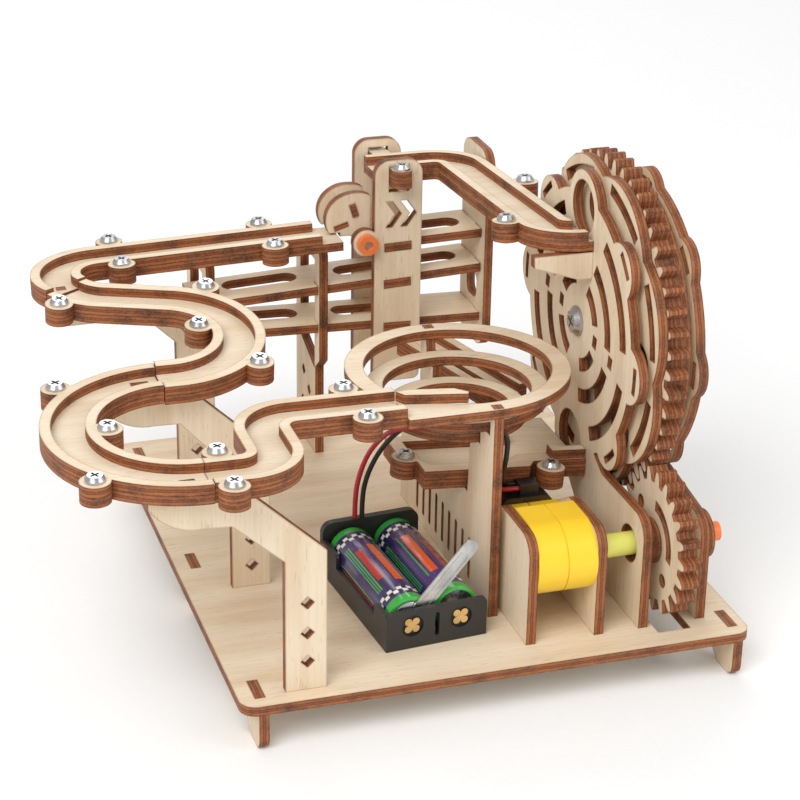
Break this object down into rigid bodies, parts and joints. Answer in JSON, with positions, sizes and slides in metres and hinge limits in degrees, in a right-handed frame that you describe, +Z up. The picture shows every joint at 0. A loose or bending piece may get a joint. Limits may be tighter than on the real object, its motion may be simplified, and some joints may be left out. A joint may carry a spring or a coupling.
{
  "type": "marble run",
  "caption": "Plywood marble run with a motor-driven lift wheel, winding rail tracks, a three-ring funnel, a shelf tower, a tipper and a battery box.",
  "frame": {"origin": "centre of the bounding box's footprint, on the surface the feet stand on", "axes": "+Z up, +X from the tracks towards the lift wheel, +Y to the back"},
  "size_m": [0.2052, 0.1916, 0.1451],
  "materials": {
    "ply_flat": "satin",
    "ply_cross": "satin",
    "ply_side": "satin",
    "steel": "satin",
    "zinc_screw": "satin",
    "orange_plastic": "satin",
    "sleeve_plastic": "satin",
    "gearbox_plastic": "satin",
    "motor_metal": "satin",
    "box_plastic": "satin",
    "cell_wrap": "gloss",
    "contact_brass": "satin",
    "wire_red": "satin",
    "wire_black": "satin"
  },
  "bodies": {
    "frame": {"base_plate": "ply_flat", "track_a_floor": "ply_flat", "track_a_rails": "ply_flat", "track_b_floor": "ply_flat", "track_b_rails": "ply_flat", "track_c_floor": "ply_flat", "track_c_rails": "ply_flat", "track_d_floor": "ply_flat", "track_d_rails": "ply_flat", "lift_exit_floor": "ply_flat", "lift_exit_rails": "ply_flat", "shelf_top": "ply_flat", "shelf_middle": "ply_flat", "shelf_bottom": "ply_flat", "return_chute_floor": "ply_flat", "return_chute_rails": "ply_flat", "funnel_ring_upper": "ply_flat", "funnel_ring_middle": "ply_flat", "funnel_ring_lower": "ply_flat", "funnel_guide": "ply_flat", "collector_floor": "ply_flat", "collector_rails": "ply_flat", "front_leg": "ply_cross", "middle_leg": "ply_cross", "rear_leg": "ply_cross", "exit_bracket": "ply_cross", "tower_front_post": "ply_cross", "tower_rear_post": "ply_cross", "base_feet": "ply_side", "shelf_frame_right": "ply_side", "shelf_frame_left": "ply_side", "tower_side_post": "ply_side", "funnel_support": "ply_side", "wheel_front_guard": "ply_side", "wheel_rear_guard": "ply_side", "motor_side_plates": "ply_side", "tipper_pin": "steel", "tipper_pin_caps": "orange_plastic", "wheel_axle": "steel", "wheel_axle_screws": "zinc_screw", "track_screws": "zinc_screw", "motor_gearbox": "gearbox_plastic", "motor_can": "motor_metal", "battery_box": "box_plastic", "battery_cells": "cell_wrap", "battery_contacts": "contact_brass", "switch_pivot": "contact_brass", "red_wire": "wire_red", "black_wire": "wire_black"},
    "lift_wheel": {"wheel_front_plate": "ply_side", "wheel_gear": "ply_side", "wheel_rear_plate": "ply_side"},
    "pinion": {"pinion_gears": "ply_side", "pinion_spacer": "ply_side", "drive_sleeve": "sleeve_plastic", "pinion_axle_cap": "orange_plastic"},
    "tipper": {"tipper_plates": "ply_cross", "tipper_slats": "ply_cross"},
    "lever": {"switch_lever": "steel"}
  },
  "joints": [
    {"name": "lift_wheel_spin", "type": "hinge", "parent": "frame", "child": "lift_wheel", "pos_m": [0.0808, -0.01705, 0.0924], "axis": [1, 0, 0], "continuous": true},
    {"name": "pinion_spin", "type": "hinge", "parent": "frame", "child": "pinion", "pos_m": [0.0808, -0.06516, 0.03884], "axis": [1, 0, 0], "continuous": true},
    {"name": "tipper_rock", "type": "hinge", "parent": "frame", "child": "tipper", "pos_m": [0.0256, 0.07285, 0.094], "axis": [0, 1, 0], "range_deg": [0, 30]},
    {"name": "switch_lever_swing", "type": "hinge", "parent": "frame", "child": "lever", "pos_m": [0.00565, -0.06504, 0.0262], "axis": [-0.0854, 0.9963, 0], "range_deg": [-18, 12]}
  ],
  "couplings": [
    {"joint": "pinion_spin", "follows": "lift_wheel_spin", "ratio": -2.4286}
  ]
}
